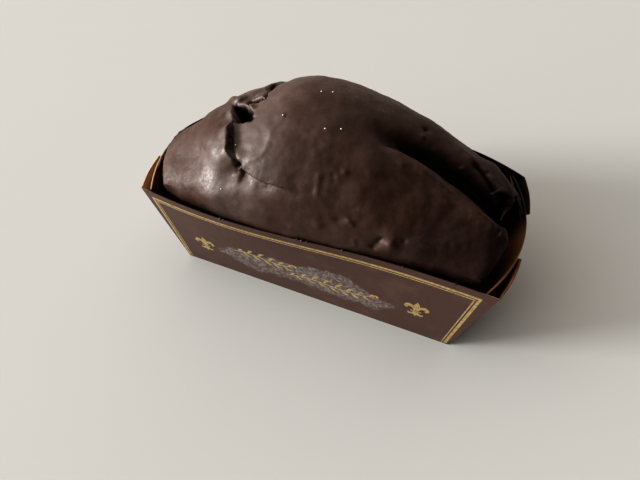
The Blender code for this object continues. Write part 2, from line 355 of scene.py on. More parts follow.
END_CRACK = traced((233, 120), (231, 130), (231, 140), (232, 150), (235, 158), (239, 165), (241, 170))
BACK_CRACK = traced((247, 104), (251, 100), (255, 100), (260, 98), (264, 97), (266, 93), (270, 90),
                    (274, 86), (278, 83))
LIP = traced((240, 166), (247, 171), (254, 176), (262, 181), (275, 185), (290, 190), (306, 195))
VALLEY = traced((368, 131), (385, 141), (400, 150), (412, 155), (425, 160), (440, 170), (455, 182),
                (470, 193), (482, 203), (490, 213), (497, 224))
CREST = traced((392, 154), (415, 166), (430, 178), (445, 190), (460, 201), (475, 213), (487, 222),
               (497, 231))
HOLE_RIM = traced((232, 104), (238, 102), (244, 103), (250, 105), (254, 110), (256, 118), (250, 122),
                  (241, 123), (234, 122), (232, 114), (232, 104))
HOLLOW_RIM = traced((496, 191), (505, 193), (513, 198), (510, 207), (504, 215), (500, 226), (496, 214),
                    (494, 202), (496, 191))
ROUND_RIDGE = traced((244, 163), (261, 156), (267, 146), (271, 131), (286, 116))
CREST_CREASE = traced((430, 186), (445, 200), (452, 210))
LONG_FOLD = traced((455, 140), (470, 158), (480, 170), (489, 185), (494, 205), (497, 222))
SHORT_FOLD = traced((470, 154), (484, 168), (492, 178), (500, 189), (509, 197))
FOLD_GAP = traced((468, 158), (478, 168), (486, 178), (494, 192))
END_DRIP = traced((499, 233), (505, 240), (507, 250))
FRONT_DENT = traced((371, 250), (378, 243), (384, 238))
for label, line in (("hole", HOLE_RIM), ("end crack", END_CRACK), ("lip", LIP), ("valley", VALLEY)):
    print(label, "mm:", (line[[0, -1]] / MM).round().tolist())

# %% [markdown]
# ## Relief of the glaze
#
# All relief is one number for each point, how far it is lifted along its normal, and one move of
# its own where a lift isn't enough. A groove or ridge is a bell curve over the distance to its
# line. Its edge is ragged because soft noise is added to that distance, as crust tears unevenly.
# Sculpting by hand would be freer, but it can't be repeated from measures, and this can. The
# depths and widths that these helpers take are in millimetres.

# %% Soft noise, and what the relief adds up to
def rough(points, scale, seed, octaves=3):
    """Soft random numbers from about -1 to 1 that change over one scale, for each point."""
    shifted = points / scale + seed
    return np.array([noise.fractal(Vector(p), 1.0, 2.0, octaves) for p in shifted])


skin = points_of(glaze)
up = points_of(glaze, "normal")
ragged = rough(skin, 3 * MM, 7.0)
lift = np.zeros(len(skin))
slide = np.zeros_like(skin)
painted_shade_share = np.zeros(len(skin))  # 1 where shade is painted, deep in holes and cracks
print("points to shape:", len(skin))


# %% Grooves, ridges and sheltered bands
def along_fade(along, start, end):
    """1 in the middle of a line, falling to 0 over these shares at its two ends."""
    return smoothstep(along / max(start, 1e-6)) * smoothstep((1 - along) / max(end, 1e-6))


def band(line, width, sharpness, fade, rag=0.0):
    """1 on a line, falling to 0 beside it and towards its ends."""
    distance, along, _, _ = line_frame(skin, line)
    distance = np.maximum(distance + rag * MM * ragged, 0)
    return np.exp(-(distance / (width * MM)) ** sharpness) * along_fade(along, *fade)


def groove(line, depth, width, rag=0.0, fade=(0.1, 0.1), sharpness=1.3):
    """A crack (depth above 0) or a ridge (below 0)."""
    lift[:] -= depth * MM * band(line, width, sharpness, fade, rag)


def shade(line, share, width, fade, sharpness=2.5):
    """Marks a band of painted shade along a line."""
    painted_shade_share[:] = np.maximum(painted_shade_share, share * band(line, width, sharpness, fade))


# %% Lumps and swellings
def mound(pixel, height, width):
    """How high each point stands on a bell shape over the spot seen at a pixel."""
    return height * MM * bell(np.linalg.norm(skin - traced(pixel)[0], axis=1), width * MM)


def lump(pixel, height, width):
    """A nub (height above 0) or a dent (below 0)."""
    lift[:] += mound(pixel, height, width)


def swell(pixel, height, width):
    """A broad swelling or sinking, straight out from the dome."""
    slide[:] += outward * mound(pixel, height, width)[:, None]


# %% Steps and overhangs
def cliff(line, left, right, reach_left, reach_right, edge, rag, fade, power=2.0):
    """A step across a line: lifted by left and right beside it, easing off over their reach."""
    distance, _, off, run = line_frame(skin, line)
    chord = line[-1] - line[0]
    along = np.clip((skin - line[0]) @ chord / (chord @ chord), 0, 1)
    signed = left_of(off, run, up) * distance / MM + rag * ragged
    share = smoothstep((signed + edge) / (2 * edge))
    ease_left, ease_right = (np.exp(-np.abs(signed / reach) ** power)
                             for reach in (reach_left, reach_right))
    rise = share * left * ease_left + (1 - share) * right * ease_right
    lift[:] += rise * MM * along_fade(along, *fade)


def overhang(line, reach, width, fade):
    """The side on the left of a line slides over the line."""
    distance, along, off, run = line_frame(skin, line)
    over_edge = unit(np.cross(up, run))
    share = bell(distance, width * MM) * (left_of(off, run, up) > 0) * along_fade(along, *fade)
    slide[:] -= (reach * MM * share)[:, None] * over_edge


# %% [markdown]
# Where the cracks meet, the crust tore open into a hole. A Boolean could cut it, but with an edge
# as clean as a cutter's. So the points inside a ragged outline sink instead, and the wall between
# them and the skin is less than two millimetres wide. Deep places also get painted shade, which
# darkens their colour to nearly black.

# %% The pit, a torn hole with steep walls
HOLE_WALL = 1.6 * MM
HOLE_EXTRA = 1.5 * MM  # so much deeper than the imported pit


def within_outline(points, outline):
    """Whether points lie inside a closed outline, seen from above."""
    crossings = np.zeros(len(points), int)
    for (x0, y0, _), (x1, y1, _) in zip(outline, outline[1:]):
        crosses = (points[:, 1] < y0) != (points[:, 1] < y1)
        where = x0 + (points[:, 1] - y0) * (x1 - x0) / (y1 - y0 + 1e-12)
        crossings += crosses & (points[:, 0] < where)
    return crossings % 2 == 1


def within_rim(rim, wall, rag):
    """1 inside a torn outline, falling to 0 over the thickness of its wall."""
    to_rim = line_frame(skin * (1, 1, 0), rim * (1, 1, 0))[0]
    torn = np.where(within_outline(skin, rim), to_rim, -to_rim) + rag * MM * ragged
    return smoothstep(torn / wall)


hole = within_rim(HOLE_RIM, HOLE_WALL, 0.8)
slide -= outward * (hole * (pit_depth + HOLE_EXTRA))[:, None]
# The hole gets painted shade.
painted_shade_share = np.maximum(painted_shade_share, hole)
print("points in the hole:", (hole > 0.5).sum())

# %% [markdown]
# The left end of the crust rose by itself, so its side of the crack stands higher: the crack is a
# step with a groove at its foot. The crack at the back is a plain deep groove. Broad swellings
# then round the left end, whose sheen shows every change of its form.

# %% The end crack, where the left mass stands higher, and the thin crack at the back
SWELLINGS = (((178, 158), -2.8, 11), ((194, 160), -2.0, 9), ((225, 161), 2.0, 7),
             ((214, 195), 2.6, 10), ((184, 199), 1.0, 7), ((489, 268), 1.6, 9))
cliff(END_CRACK, -0.8, 3.4, 5, 11, edge=0.4, rag=0.35, fade=(0.25, 0.4), power=1.2)
for pixel, height, width in SWELLINGS:
    swell(pixel, height, width)
groove(END_CRACK, 1.0, 0.7, rag=0.3, fade=(0.02, 0.3))
groove(BACK_CRACK, 3.6, 1.0, rag=0.8, fade=(0.02, 0.15))
# Painted shade along the back crack and the upper end crack.
shade(BACK_CRACK, 1.0, 0.9, fade=(0.0, 0.2))
shade(END_CRACK[:5], 0.6, 1.0, fade=(0.0, 0.3))
lump((238, 165), -2.8, 1.3)
groove(ROUND_RIDGE, -0.45, 1.3, rag=0.4, fade=(0.1, 0.3))
print("lift mm:", (lift.min() / MM).round(1), (lift.max() / MM).round(1))

# %% [markdown]
# Below the end crack the main lobe rose over a ledge, and its edge hangs over it by a millimetre.
# A lift alone can't make an overhang, so here the points slide sideways too.

# %% The lip of the main lobe over a ledge
cliff(LIP, 0.8, -2.0, 5, 6, edge=0.35, rag=0.2, fade=(0.07, 0.75))
overhang(LIP, 0.8, 1.2, (0.07, 0.75))
print("farthest slide mm:", (np.linalg.norm(slide, axis=1).max() / MM).round(1))

# %% [markdown]
# At the right the crust split along the loaf. The split is a broad valley with steep sides, with
# the crest of the near side along it, and on the far side the glaze hangs in folds down to a
# hollow at the end. The folds are ridges with a groove between them.

# %% The long valley and the ridges beside it
HOLLOW_WALL, HOLLOW_DEPTH = 1.2 * MM, 2.2 * MM
groove(VALLEY, 3.0, 4.6, rag=0.9, fade=(0.25, 0.05), sharpness=2.4)
# Painted shade along the valley.
shade(VALLEY, 0.95, 4.4, fade=(0.35, 0.0), sharpness=3)
groove(CREST, -1.6, 2.4, rag=0.5, fade=(0.25, 0.1))
groove(CREST_CREASE, -0.5, 1.6, fade=(0.3, 0.3))
groove(LONG_FOLD, -1.9, 1.3, rag=0.3, fade=(0.3, 0.05))
groove(SHORT_FOLD, -1.5, 1.1, rag=0.3, fade=(0.2, 0.02))
groove(FOLD_GAP, 2.0, 1.5, rag=0.3, fade=(0.3, 0.0))
# Painted shade in the gap between the folds.
shade(FOLD_GAP, 0.9, 1.6, fade=(0.3, 0.0))
hollow = within_rim(HOLLOW_RIM, HOLLOW_WALL, 0.5)
lift -= HOLLOW_DEPTH * hollow
# The hollow gets painted shade too.
painted_shade_share = np.maximum(painted_shade_share, hollow)
groove(END_DRIP, -1.0, 1.6, rag=0.3)
print("valley mm long:", (np.linalg.norm(VALLEY[-1] - VALLEY[0]) / MM).round())

# %% [markdown]
# Drops, crumbs under the glaze and burst bubbles leave nubs, dents and short ridges. They could
# be beads stuck on, but on the real glaze they are one with the skin, so they are lumps of it.

# %% Nubs, dents and small ridges
NUBS_AND_DENTS = (  # pixel, height and width in millimetres
    ((427, 130), -1.8, 1.5), ((423, 137), 1.1, 1.1), ((411, 145), 0.9, 1.2), ((418, 143), 0.8, 1.0),
    ((462, 169), 0.9, 1.2), ((345, 172), 0.6, 1.2), ((338, 220), -0.9, 2.4), ((348, 221), 0.8, 1.2),
    ((390, 245), 2.2, 3.6), ((397, 243), -0.9, 1.5), ((404, 241), -0.9, 1.3), ((487, 174), -0.9, 1.2),
    ((508, 253), 0.8, 1.1), ((506, 258), 0.7, 1.0), ((283, 115), 0.6, 1.2), ((278, 116), 0.5, 1.3),
    ((240, 99), 0.5, 2.0), ((318, 226), 0.5, 2.2),
)
SMALL_RIDGES = (  # from pixel to pixel, and the depth in millimetres
    ((434, 148), (434, 156), -0.6), ((397, 161), (404, 167), -0.6), ((320, 170), (316, 198), -0.6),
    ((350, 220), (353, 228), -0.6), ((352, 238), (356, 247), -0.6), ((333, 172), (334, 185), 0.5),
)
for pixel, height, width in NUBS_AND_DENTS:
    lump(pixel, height, width)
for start, end, depth in SMALL_RIDGES:
    groove(traced(start, end), depth, 1.0, rag=0.3, fade=(0.2, 0.2))
groove(FRONT_DENT, 2.0, 1.3, rag=0.3, fade=(0.1, 0.1))
print("small shapes:", len(NUBS_AND_DENTS) + len(SMALL_RIDGES) + 1)

# %% [markdown]
# Poured chocolate is never even. It pools over centimetres and ripples over millimetres, which
# three layers of soft noise give. A Displace modifier could do that, but here the skin is held
# over the cake in the same step, so that no sponge comes through in a deep crack.

# %% Lay it on, with the unevenness of poured chocolate
UNEVENNESS = ((0.6, 19, 3.0), (0.26, 7, 11.0), (0.07, 2, 23.0))  # height and scale in mm, and seed
INNER_REACH = 0.7 * MM  # points of the inner side lie closer to the cake than this
for height, scale, seed in UNEVENNESS:
    lift += height * MM * rough(skin, scale * MM, seed, 2)
moved = skin + outside[:, None] * (up * lift[:, None] + slide)
over, near, out = over_cake(moved)
sunk = (over < THINNEST_GLAZE) & (outside > 0.01)
moved[sunk] = near[sunk] + out[sunk] * THINNEST_GLAZE
hidden = (outside < 0.01) & (over < INNER_REACH) & (over > 0)
moved[hidden] = near[hidden] + out[hidden] * INNER_GAP
low, high = (np.array(corner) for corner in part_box("glaze"))
put_points(glaze, np.clip(moved, low, high))
smooth_shaded(glaze)
# The painted shade rides along as an attribute that darkens the chocolate's colour.
glaze.data.attributes.new("painted_shade", "FLOAT", "POINT")
glaze.data.attributes["painted_shade"].data.foreach_set("value", painted_shade_share)
print("glaze points kept over the cake:", sunk.sum())

# %% [markdown]
# ## The paper case
#
# The case is one sheet of card, printed on its outside. Its side walls and end walls are folded
# up, and at each corner a triangular web is left over. The web is folded in two and laid against
# the outside of the end wall, which leaves a small pocket that shows the bare side of the card.
# So the case is made as the baker's supplier makes it: a flat grid of faces is carried on to the
# folded path round the case, and then Solidify gives the card its thickness.

# %% Driving sizes of the case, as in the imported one
CASE_HEIGHT = 63 * MM
BASE_HALF_LENGTH, RIM_HALF_LENGTH = 88 * MM, 100 * MM
BASE_HALF_WIDTH, RIM_HALF_WIDTH = 40.5 * MM, 41.2 * MM
FRONT_BOW, FRONT_WAVE, BACK_BOW, BACK_BOW_POWER = 2 * MM, 2.6 * MM, 18 * MM, 3.2
END_SET_IN, END_BOW, BOW_RISE = 6.5 * MM, 12.5 * MM, 1.4
EAR_REACH, EAR_STAND_OFF, EAR_BULGE = 26 * MM, 1.6 * MM, 1.2 * MM
CORNER_PULL, CORNER_SINK = 9 * MM, 3 * MM
CARD = 0.45 * MM
PRINT_SET_IN = 0.12 * MM  # the card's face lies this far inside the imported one
LAYER = 0.5 * MM  # one layer of card and the air beside it
print("base mm:", 2 * BASE_HALF_LENGTH / MM, "by", 2 * BASE_HALF_WIDTH / MM)


# %% Where the walls stand at a height
def flare(base, rim, height):
    return base + (rim - base) * height / CASE_HEIGHT


def bow_at(height):
    return (np.maximum(height, 0) / CASE_HEIGHT) ** BOW_RISE


def side_wall_y(x, height, side):
    """Printed face of a side wall: side is -1 for the front and 1 for the back."""
    along = np.clip(x / flare(BASE_HALF_LENGTH, RIM_HALF_LENGTH, height), -1, 1)
    if side < 0:
        bow = FRONT_BOW * (1 - along**2) - FRONT_WAVE * np.sin(np.pi * along)
    else:
        bow = BACK_BOW * (1 - np.abs(along) ** BACK_BOW_POWER)
    flat = flare(BASE_HALF_WIDTH, RIM_HALF_WIDTH, height) - PRINT_SET_IN
    return side * (flat + bow * bow_at(height))


def end_wall_x(y, height):
    corner = flare(BASE_HALF_LENGTH, RIM_HALF_LENGTH - END_SET_IN, height)
    out = np.maximum(0, 1 - (y / flare(BASE_HALF_WIDTH, RIM_HALF_WIDTH, height)) ** 2)
    return corner - PRINT_SET_IN + END_BOW * bow_at(height) * out


def settled(x, y, height):
    """The back left corner of the case is pulled in and down."""
    pull = smoothstep(-x / RIM_HALF_LENGTH) * smoothstep(y / RIM_HALF_WIDTH) * height / CASE_HEIGHT
    return np.stack((x, y - CORNER_PULL * pull, height - CORNER_SINK * pull), -1)


print("rim length mm:", round(2 * end_wall_x(0, CASE_HEIGHT) / MM, 1))

# %% [markdown]
# At any height, a plan of the case is one path: along the front, out and back along the folded
# web, across the end, and so on round. It is worked out at thirty heights, so the walls bend
# smoothly. Layers that lie on each other are half a millimetre apart, so that none cuts another.

# %% The folded path at the right end
FRONT_CELLS, EAR_CELLS, END_CELLS, WALL_ROWS = 64, 14, 36, 30
FOLD_RISE = 8 * MM  # over this height the layers of the corner part


def right_end(height):
    """Plan of the right end at one height: ear out, ear in, end wall, and the same at the back."""
    half_length = flare(BASE_HALF_LENGTH, RIM_HALF_LENGTH, height) - PRINT_SET_IN
    half_width = flare(BASE_HALF_WIDTH, RIM_HALF_WIDTH, height) - PRINT_SET_IN
    apart = min(1.0, height / FOLD_RISE)
    tip_y = half_width - EAR_REACH * height / CASE_HEIGHT
    share = np.linspace(0, 1, EAR_CELLS + 1)
    outer_y = half_width + (tip_y - half_width) * share
    tip_x = end_wall_x(tip_y, height) + EAR_STAND_OFF * height / CASE_HEIGHT
    outer_x = half_length + (tip_x - half_length) * share
    outer_x = outer_x + EAR_BULGE * np.sin(np.pi * share) * bow_at(height)
    outer_x = np.maximum(outer_x, end_wall_x(outer_y, height) + apart * 1.1 * LAYER)
    fold_y = half_width - apart * 2 * LAYER
    inner_y = tip_y + (fold_y - tip_y) * share
    inner_x = end_wall_x(inner_y, height) - apart * 0.5 * LAYER
    wall_y = np.linspace(-fold_y, fold_y, END_CELLS + 1)
    wall_x = end_wall_x(wall_y, height) - apart * 0.6 * LAYER
    ear = np.stack((np.r_[outer_x, inner_x], np.r_[outer_y, inner_y]), -1)
    return np.r_[ear * (1, -1), np.stack((wall_x, wall_y), -1), ear[::-1]]


# %% The whole path round the case
def path_round(height):
    """The whole plan at one height, counterclockwise from the left front corner."""
    half_length = flare(BASE_HALF_LENGTH, RIM_HALF_LENGTH, height) - PRINT_SET_IN
    x = np.linspace(-half_length, half_length, FRONT_CELLS + 1)[1:-1]
    front = np.stack((x, side_wall_y(x, height, -1)), -1)
    behind = np.stack((x[::-1], side_wall_y(x[::-1], height, 1)), -1)
    end = right_end(height)
    plan = np.r_[front, end, behind, end[::-1] * (-1, 1), front[:1]]
    return settled(plan[:, 0], plan[:, 1], height)


heights = np.linspace(0, CASE_HEIGHT - PRINT_SET_IN, WALL_ROWS + 1)
wall_places = np.array([path_round(height) for height in heights])
print("rows and columns of the folded wall:", wall_places.shape[:2])

# %% [markdown]
# A grid primitive is a flat sheet of rows and columns, as the card is before it is folded. One is
# carried on to the path and one makes the base, and merging joins them along the bottom folds.
# Solidify then gives the sheet a printed and an inner side, each with a finish of its own.

# %% Carry two flat grids on to the walls and the base
def bent_sheet(name, columns, rows, place):
    """A grid primitive whose points are carried to place(s, t), with s and t from 0 to 1."""
    only()
    bpy.ops.mesh.primitive_grid_add(x_subdivisions=columns, y_subdivisions=rows, size=1)
    obj = bpy.context.object
    obj.name = obj.data.name = name
    flat = points_of(obj) + 0.5
    put_points(obj, place(flat[:, 0], flat[:, 1]))
    return obj


def wall_place(s, t):
    rows, columns = wall_places.shape[:2]
    return wall_places[np.rint(t * (rows - 1)).astype(int), np.rint(s * (columns - 1)).astype(int)]


def base_place(s, t):
    x = (2 * s - 1) * (BASE_HALF_LENGTH - PRINT_SET_IN)
    y = (1 - 2 * t) * (BASE_HALF_WIDTH - PRINT_SET_IN)
    return np.stack((x, y, np.zeros_like(x)), -1)


walls = bent_sheet("paper_case", wall_places.shape[1] - 1, WALL_ROWS, wall_place)
base = bent_sheet("case_base", FRONT_CELLS, END_CELLS, base_place)


def on_ear(column):
    """Whether the face after a column of the path lies on a corner web."""
    front, ear, end = FRONT_CELLS - 1, 2 * EAR_CELLS + 2, END_CELLS + 1
    place = column % (front + 2 * ear + end) - front
    return ((place >= 0) & (place < ear)) | ((place >= ear + end) & (place < 2 * ear + end - 1))


first_column = np.array([min(v % wall_places.shape[1] for v in p.vertices)
                         for p in walls.data.polygons])
print("faces on the corner webs:", on_ear(first_column).sum())

# %% Mark the printed panels
PANEL_EDGE = 2 * MM  # so far in from the base's edge, a point still belongs to a side wall

# The place on a panel, in millimetres, rides along as an attribute for the printed cloud.
for sheet in (walls, base):
    places = points_of(sheet)
    panel = (np.abs(places[:, 1]) > BASE_HALF_WIDTH - PANEL_EDGE) & (sheet is walls)
    facing = np.where(places[:, 1] < 0, 1, -1)
    data = np.stack((places[:, 0] * facing / MM, places[:, 2] / MM, panel), -1)
    sheet.data.attributes.new("panel_place", "FLOAT_VECTOR", "POINT")
    sheet.data.attributes["panel_place"].data.foreach_set("vector", data.ravel())
    print(sheet.name, "points on the printed panels:", np.count_nonzero(panel))


# %% Join the sheets and give the card its thickness
def joined(name, objs):
    """One object from several."""
    only(*objs)
    if len(objs) > 1:
        bpy.ops.object.join()
    objs[0].name = objs[0].data.name = name
    return objs[0]


def print_box(obj):
    points = points_of(obj) / MM
    print(obj.name, "box mm:", points.min(0).round(1), points.max(0).round(1))


FOLD_MERGE = 0.02 * MM
SHARP_FOLD = 35  # degrees
PRINT_FACE, INSIDE_FACE, EAR_FACE, BARE_FACE = range(4)  # the card's faces on walls and on webs
case = joined("paper_case", [walls, base])
for face in (PRINT_FACE, INSIDE_FACE, EAR_FACE, BARE_FACE):
    case.data.materials.append(None)
face_finish = np.full(len(case.data.polygons), PRINT_FACE)
face_finish[:len(first_column)] = np.where(on_ear(first_column), EAR_FACE, PRINT_FACE)
case.data.polygons.foreach_set("material_index", face_finish)
merge_close(case, FOLD_MERGE)
finish_with(case, "SOLIDIFY", thickness=CARD, offset=-1, material_offset=1, material_offset_rim=1)
smooth_shaded(case, SHARP_FOLD)
print_box(case)

# %% [markdown]
# ## The gold print
#
# Gold ink on the card makes a double frame, two lilies and two leafy sprays on a grey cloud. The
# frame and ornaments could be drawn in the material, but thin lines stay crisp from any distance
# as real shapes. So each stroke is a ribbon a few hundredths of a millimetre thick, carried on to
# the wall by the same formula as the card.

# %% Places on the side walls
INK_LIFT = 0.03 * MM
INK = 0.03 * MM


def on_wall(x, h, side):
    """A place on a side wall. x runs to the right for somebody who looks at that wall."""
    x, h = x * MM * -side, h * MM
    return settled(x, side_wall_y(x, h, side) + side * INK_LIFT, h)


# %% Curves, ribbons and strokes
def curve_through(points, samples):
    """A smooth line of samples through a few points."""
    p = np.array(points, float)
    p = np.vstack((2 * p[0] - p[1], p, 2 * p[-1] - p[-2]))
    where = np.linspace(0, len(p) - 3 - 1e-9, samples)
    i = where.astype(int)
    t = (where - i)[:, None]
    a, b, c, d = p[i], p[i + 1], p[i + 2], p[i + 3]
    return 0.5 * (2 * b + (c - a) * t + (2 * a - 5 * b + 4 * c - d) * t**2
                  + (3 * b - a - 3 * c + d) * t**3)


def ribbon(left, right, side):
    """A band between two lines with as many points, on a side wall."""
    def place(s, t):
        i = np.rint(s * (len(left) - 1)).astype(int)
        flat = right[i] + (left[i] - right[i]) * t[:, None]
        return on_wall(flat[:, 0], flat[:, 1], side)
    return bent_sheet("ribbon", len(left) - 1, 1, place)


def stroke(points, widths, side, samples=16):
    """A brush stroke along a few points, with its half widths given at even steps."""
    line = curve_through(points, samples)
    run = unit(np.gradient(line, axis=0))
    half = np.interp(np.linspace(0, 1, samples), np.linspace(0, 1, len(widths)), widths)
    off = np.stack((-run[:, 1], run[:, 0]), -1) * half[:, None]
    return ribbon(line + off, line - off, side)


# %% The double frame
FRAME_LOW, FRAME_TOP = 1.0, 58.0  # heights on the wall and places along it in millimetres
FRAME_FOOT, FRAME_LEAN, FRAME_SHIFT = 87.1, 0.117, -0.7
FRAME_BANDS = ((0.0, 1.6), (2.4, 3.1))  # from the outer edge inwards
SIDE_STEPS, TOP_STEPS = 12, 60


def frame_line(inset):
    """The frame at one inset: up the left side, along the top and down the right side."""
    top = FRAME_TOP - inset
    foot, head = (FRAME_FOOT + FRAME_LEAN * h - inset for h in (FRAME_LOW, top))
    left = np.linspace((-foot, FRAME_LOW), (-head, top), SIDE_STEPS)
    along = np.linspace((-head, top), (head, top), TOP_STEPS)
    return np.r_[left, along[1:-1], left[::-1] * (-1, 1)] + (FRAME_SHIFT, 0)


gold = [ribbon(frame_line(outer), frame_line(inner), side)
        for side in (-1, 1) for outer, inner in FRAME_BANDS]
print("bands of the frames:", len(gold))

# %% [markdown]
# A brush stroke swells in its middle and runs out at its ends, so a stroke takes a few points and
# a few half widths. The lilies and the sprays are made of such strokes, so one helper draws all.

# %% Lilies
LILY_PLACES = ((65.3, 26.5), (-68.0, 23.2))  # along the wall and up, in millimetres


def lily(x, h, side):
    """The old ornament: an upright petal, two curling ones, a band and three short tails."""
    def at(points):
        return [(x + a, h + b) for a, b in points]
    made = [stroke(at(((0, 0), (0, 4), (0, 8.4))), (0.3, 1.1, 1.9, 1.3, 0.05), side),
            stroke(at(((-3.0, -0.9), (3.0, -0.9))), (0.5, 0.5), side, 4),
            stroke(at(((0, -1.8), (0, -4), (0, -6.4))), (0.5, 1.1, 0.05), side)]
    for turn in (-1, 1):
        petal = ((0.7 * turn, 0), (1.9 * turn, 3.0), (4.2 * turn, 4.2), (6.0 * turn, 2.6),
                 (4.9 * turn, 0.9))
        tail = ((0.7 * turn, -1.7), (1.6 * turn, -3.6), (3.4 * turn, -4.2), (4.3 * turn, -2.9))
        made.append(stroke(at(petal), (0.45, 0.9, 1.5, 1.1, 0.3), side))
        made.append(stroke(at(tail), (0.5, 0.9, 0.7, 0.15), side))
    return made


for side in (-1, 1):
    for along_wall, up_wall in LILY_PLACES:
        gold += lily(along_wall, up_wall, side)
print("strokes with the lilies:", len(gold))

# %% Leafy sprays
LEAF = 7.5  # length of the longest leaves in millimetres
SPRAYS = (((-46, 29.5), (-7, 31), 1.5, 11), ((-13, 20), (42, 25.5), 2.0, 15))


def spray(start, end, bow, count, side):
    """A bowed stem with leaves in turn above and below it, and a curl at its end."""
    a, b = np.array(start, float), np.array(end, float)
    run = (b - a) / np.linalg.norm(b - a)
    off = np.array((-run[1], run[0]))
    shares = np.linspace(0, 1, count + 2)
    stem = a + shares[:, None] * (b - a) + off * (bow * np.sin(2 * np.pi * shares))[:, None]
    made = [stroke(stem, (0.2, 0.5, 0.45, 0.4, 0.2), side, 8 * count)]
    for k, foot in enumerate(stem[1:-1]):
        flip = (-1) ** k
        long = LEAF * (1 - 0.45 * abs(2 * shares[k + 1] - 1))
        tip = foot + long * (0.75 * run + 0.66 * flip * off)
        belly = (foot + tip) / 2 + 0.16 * long * flip * off
        made.append(stroke((foot, belly, tip), (0.15, 0.95, 0.8, 0.1), side, 10))
    curl = [b + LEAF * 0.3 * math.exp(-0.28 * t) * (math.sin(t) * run + (1 - math.cos(t)) * off)
            for t in np.linspace(0.3, 4.9, 9)]
    made.append(stroke(curl, (0.4, 0.8, 0.6, 0.4, 0.15), side, 20))
    return made


for side in (-1, 1):
    for start, end, bow, leaves in SPRAYS:
        gold += spray(start, end, bow, leaves, side)
print_piece = joined("gold_print", gold)
finish_with(print_piece, "SOLIDIFY", thickness=INK, offset=-1)
print("gold strokes:", len(gold), "faces:", len(print_piece.data.polygons))

# %% [markdown]
# ## Small things on the glaze
#
# A few grains of white sugar stick to the chocolate, and crumbs of it lie on the front rim. Where
# the glaze ran off the right end, some strands of it set between the loaf and the paper, and on
# the left some was smeared over the rim. A particle system could scatter the grains, but here
# each has its place in the photo. Each is a start shape carried there and roughened, so that no
# two are alike.

# %% Sugar specks
SPECK_SIZE = 0.42 * MM
SPECK_PIXELS = ((321.5, 91.5), (333, 92), (325, 128.5), (341, 129), (235.5, 145), (221, 189),
                (283, 115))


def bead(place, size, squash, seed):
    """A small uneven lump."""
    only()
    bpy.ops.mesh.primitive_ico_sphere_add(subdivisions=2, radius=1)
    obj = bpy.context.object
    ball = points_of(obj)
    ball *= 1 + 0.35 * rough(ball, 1.1, seed, 2)[:, None]
    put_points(obj, np.array(place) + ball * (size, size, size * squash))
    return obj


spots = seen_at(tree_of(glaze), *SPECK_PIXELS)
specks = joined("sugar_specks", [bead(spot, SPECK_SIZE, 0.8, 5.0 * i) for i, spot in enumerate(spots)])
smooth_shaded(specks)
print("grains of sugar:", len(SPECK_PIXELS))

# %% Crumbs of chocolate on the front rim
CRUMBS = (  # pixel, and size in millimetres
    ((221, 217), 0.9), ((224, 219), 0.6), ((296, 241), 0.7), ((301, 242), 1.0), ((306, 244), 0.7),
    ((341, 253), 0.8), ((402, 270), 0.6), ((455, 286), 0.7),
)


def at_height(u, v, height):
    """The place seen at a pixel, at a height over the table in millimetres."""
    way = sight(u, v)
    return np.array(eye + way * ((height * MM - eye.z) / way.z))


def on_rim(u, v):
    """The place on the front wall's rim that is seen at a pixel."""
    x = float(at_height(u, v, CASE_HEIGHT / MM)[0])
    return settled(x, side_wall_y(x, CASE_HEIGHT, -1) + CARD / 2, CASE_HEIGHT - PRINT_SET_IN)


crumbs = joined("chocolate_crumbs", [bead(on_rim(*pixel), size * MM, 0.6, 3.0 * i + 50)
                                     for i, (pixel, size) in enumerate(CRUMBS)])
smooth_shaded(crumbs)
print("crumbs:", len(CRUMBS))

# %% Strands of set chocolate
STRANDS = (  # each a chain of pixels with heights over the table in millimetres
    ((510, 175, 62), (513, 187, 63), (517, 198, 64), (521, 208, 63), (524, 219, 60)),
    ((499, 190, 70), (508, 196, 66), (517, 198, 64), (520, 212, 61), (521, 228, 57)),
    ((517, 198, 64), (511, 205, 64.5), (504, 213, 66), (500, 222, 67)),
)
STRAND_RADII = np.array((0.6, 0.8, 1.5, 0.8, 0.5)) * MM
STRAND_SIDES = 12


def strand(points, radii, seed, samples=26):
    """A round strand through a few points, closed at both ends."""
    line = curve_through(points, samples)
    run = unit(np.gradient(line, axis=0))
    radius = np.interp(np.linspace(0, 1, samples), np.linspace(0, 1, len(radii)), radii)
    first = unit(np.cross(run, (0.3, 0.2, 1.0)))
    second = np.cross(run, first)
    radius = radius * (1 + 0.25 * rough(line, 2 * MM, seed, 2))

    def place(s, t):
        i = np.rint(s * (samples - 1)).astype(int)
        angle = 2 * np.pi * t
        ring = first[i] * np.cos(angle)[:, None] + second[i] * np.sin(angle)[:, None]
        return line[i] + ring * (radius[i] * np.minimum(1, 12 * np.minimum(s, 1 - s)) ** 0.5)[:, None]
    return bent_sheet("strand", samples - 1, STRAND_SIDES, place)


strands = [strand([at_height(*place) for place in line], STRAND_RADII, 9.0 * i)
           for i, line in enumerate(STRANDS)]
print("strands:", len(strands))

# %% A smear on the left rim and a flap of crust at the right
SMEAR_RADII = np.array((0.5, 1.2, 0.9, 1.7, 1.1, 1.9, 1.2, 1.7, 0.9, 1.5, 0.6)) * MM
FLAP_CORNERS = ((483, 165, 76), (508, 180, 69), (511, 195, 66), (495, 187, 73))
FLAP_THICKNESS = 1.2 * MM


def rim_smear():
    """Chocolate that dried on to the rim, round the left end and the back left corner."""
    end = [(-end_wall_x(y, CASE_HEIGHT) + 4 * CARD, y) for y in np.linspace(-26, 36, 6) * MM]
    behind = [(x, side_wall_y(x, CASE_HEIGHT, 1) - CARD) for x in np.linspace(-90, -62, 4) * MM]
    path = [settled(x, y, CASE_HEIGHT + 0.2 * MM) for x, y in end + behind]
    return strand(path, SMEAR_RADII, 63.0, 110)


